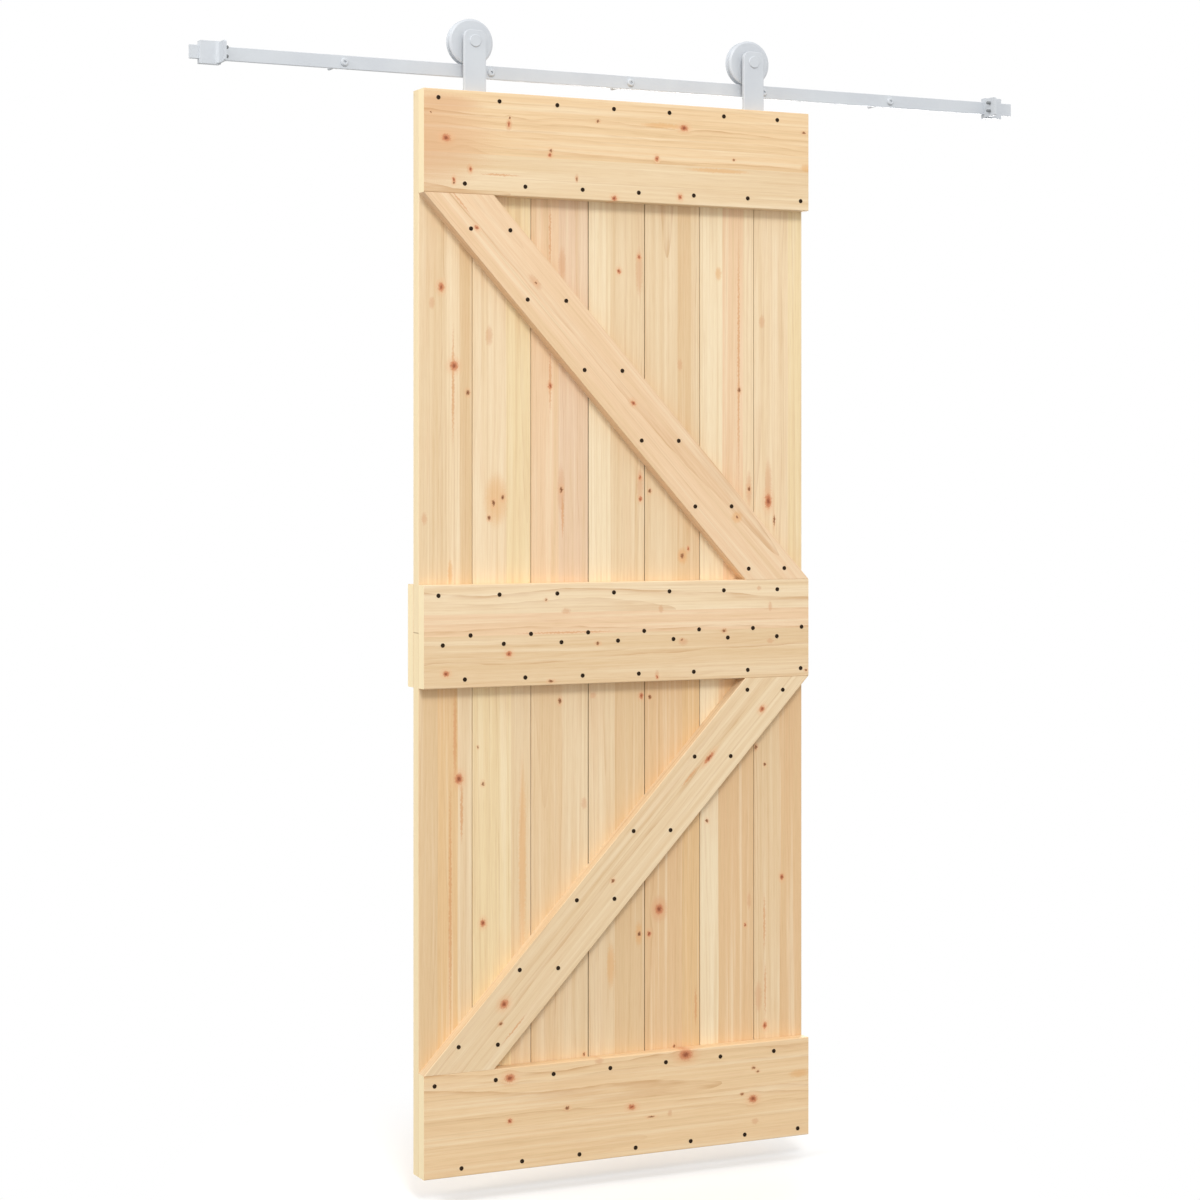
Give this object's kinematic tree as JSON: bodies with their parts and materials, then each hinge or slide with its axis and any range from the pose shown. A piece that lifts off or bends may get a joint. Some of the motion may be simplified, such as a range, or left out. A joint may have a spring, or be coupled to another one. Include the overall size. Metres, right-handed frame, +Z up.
{
  "type": "sliding door",
  "caption": "Plank door with rails and sloping braces, hung by strap hangers and grooved wheels from a flat wall track with end stops, sliding sideways to open.",
  "frame": {"origin": "on the wall, at the back face of the middle spacer, level with the middle of the track", "axes": "+X along the track to the right, +Y into the wall, +Z up; the door's front faces -Y"},
  "size_m": [1.83, 0.138, 2.2473],
  "materials": {
    "pine": "satin",
    "white_steel": "satin",
    "bumper_rubber": "matte"
  },
  "bodies": {
    "track": {"track_rail": "white_steel", "spacer_1": "white_steel", "spacer_2": "white_steel", "spacer_3": "white_steel", "spacer_4": "white_steel", "spacer_5": "white_steel", "wall_bolt_1": "white_steel", "wall_bolt_2": "white_steel", "wall_bolt_3": "white_steel", "wall_bolt_4": "white_steel", "wall_bolt_5": "white_steel", "left_stop": "white_steel", "right_stop": "white_steel", "left_stop_bumpers": "bumper_rubber", "right_stop_bumpers": "bumper_rubber"},
    "door": {"upper_board_1": "pine", "upper_board_2": "pine", "upper_board_3": "pine", "upper_board_4": "pine", "upper_board_5": "pine", "upper_board_6": "pine", "upper_board_7": "pine", "lower_board_1": "pine", "lower_board_2": "pine", "lower_board_3": "pine", "lower_board_4": "pine", "lower_board_5": "pine", "lower_board_6": "pine", "lower_board_7": "pine", "top_rail": "pine", "middle_rail": "pine", "bottom_rail": "pine", "back_rail": "pine", "upper_brace": "pine", "lower_brace": "pine", "left_hanger": "white_steel", "left_axle": "white_steel", "left_axle_sleeve": "white_steel", "left_axle_nut": "white_steel", "right_hanger": "white_steel", "right_axle": "white_steel", "right_axle_sleeve": "white_steel", "right_axle_nut": "white_steel"},
    "left_wheel": {"left_wheel": "white_steel"},
    "right_wheel": {"right_wheel": "white_steel"}
  },
  "joints": [
    {"name": "door_slide", "type": "slide", "parent": "track", "child": "door", "axis": [1, 0, 0], "range_m": [-0.47, 0.541]},
    {"name": "left_wheel_spin", "type": "hinge", "parent": "door", "child": "left_wheel", "pos_m": [-0.349, -0.042, 0.0558], "axis": [0, 1, 0], "continuous": true},
    {"name": "right_wheel_spin", "type": "hinge", "parent": "door", "child": "right_wheel", "pos_m": [0.269, -0.042, 0.0558], "axis": [0, 1, 0], "continuous": true}
  ],
  "couplings": [
    {"joint": "left_wheel_spin", "follows": "door_slide", "rad_per_m": 23.529},
    {"joint": "right_wheel_spin", "follows": "door_slide", "rad_per_m": 23.529}
  ]
}
